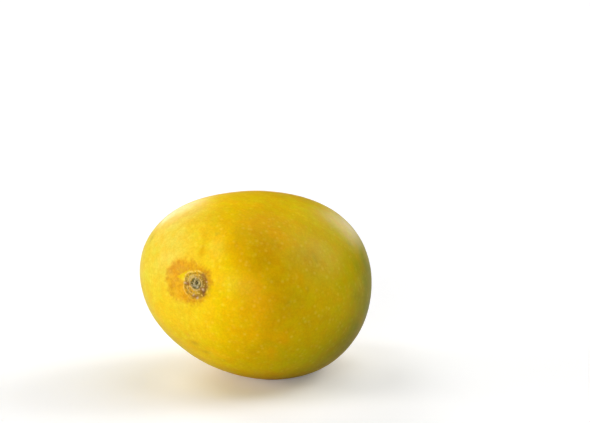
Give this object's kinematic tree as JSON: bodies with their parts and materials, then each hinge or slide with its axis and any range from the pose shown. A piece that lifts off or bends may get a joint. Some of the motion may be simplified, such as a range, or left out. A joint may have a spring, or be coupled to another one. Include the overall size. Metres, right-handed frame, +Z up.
{
  "type": "mango",
  "caption": "Whole ripe yellow mango, ovate and slightly flattened, lying on one cheek on a small flat spot, with a round stalk scar at its broad end.",
  "frame": {"origin": "middle of the small flat spot that the fruit rests on", "axes": "+Z up out of the surface it lies on; +Y along the fruit's long axis from the stalk end to the tip; +X across its width"},
  "size_m": [0.08, 0.0952, 0.0679],
  "materials": {
    "skin": "smooth waxy fruit skin, golden yellow turning olive green towards the tip, with fine pale dots and a brown stalk scar"
  },
  "bodies": {
    "root": {"mango": "skin"}
  },
  "joints": []
}
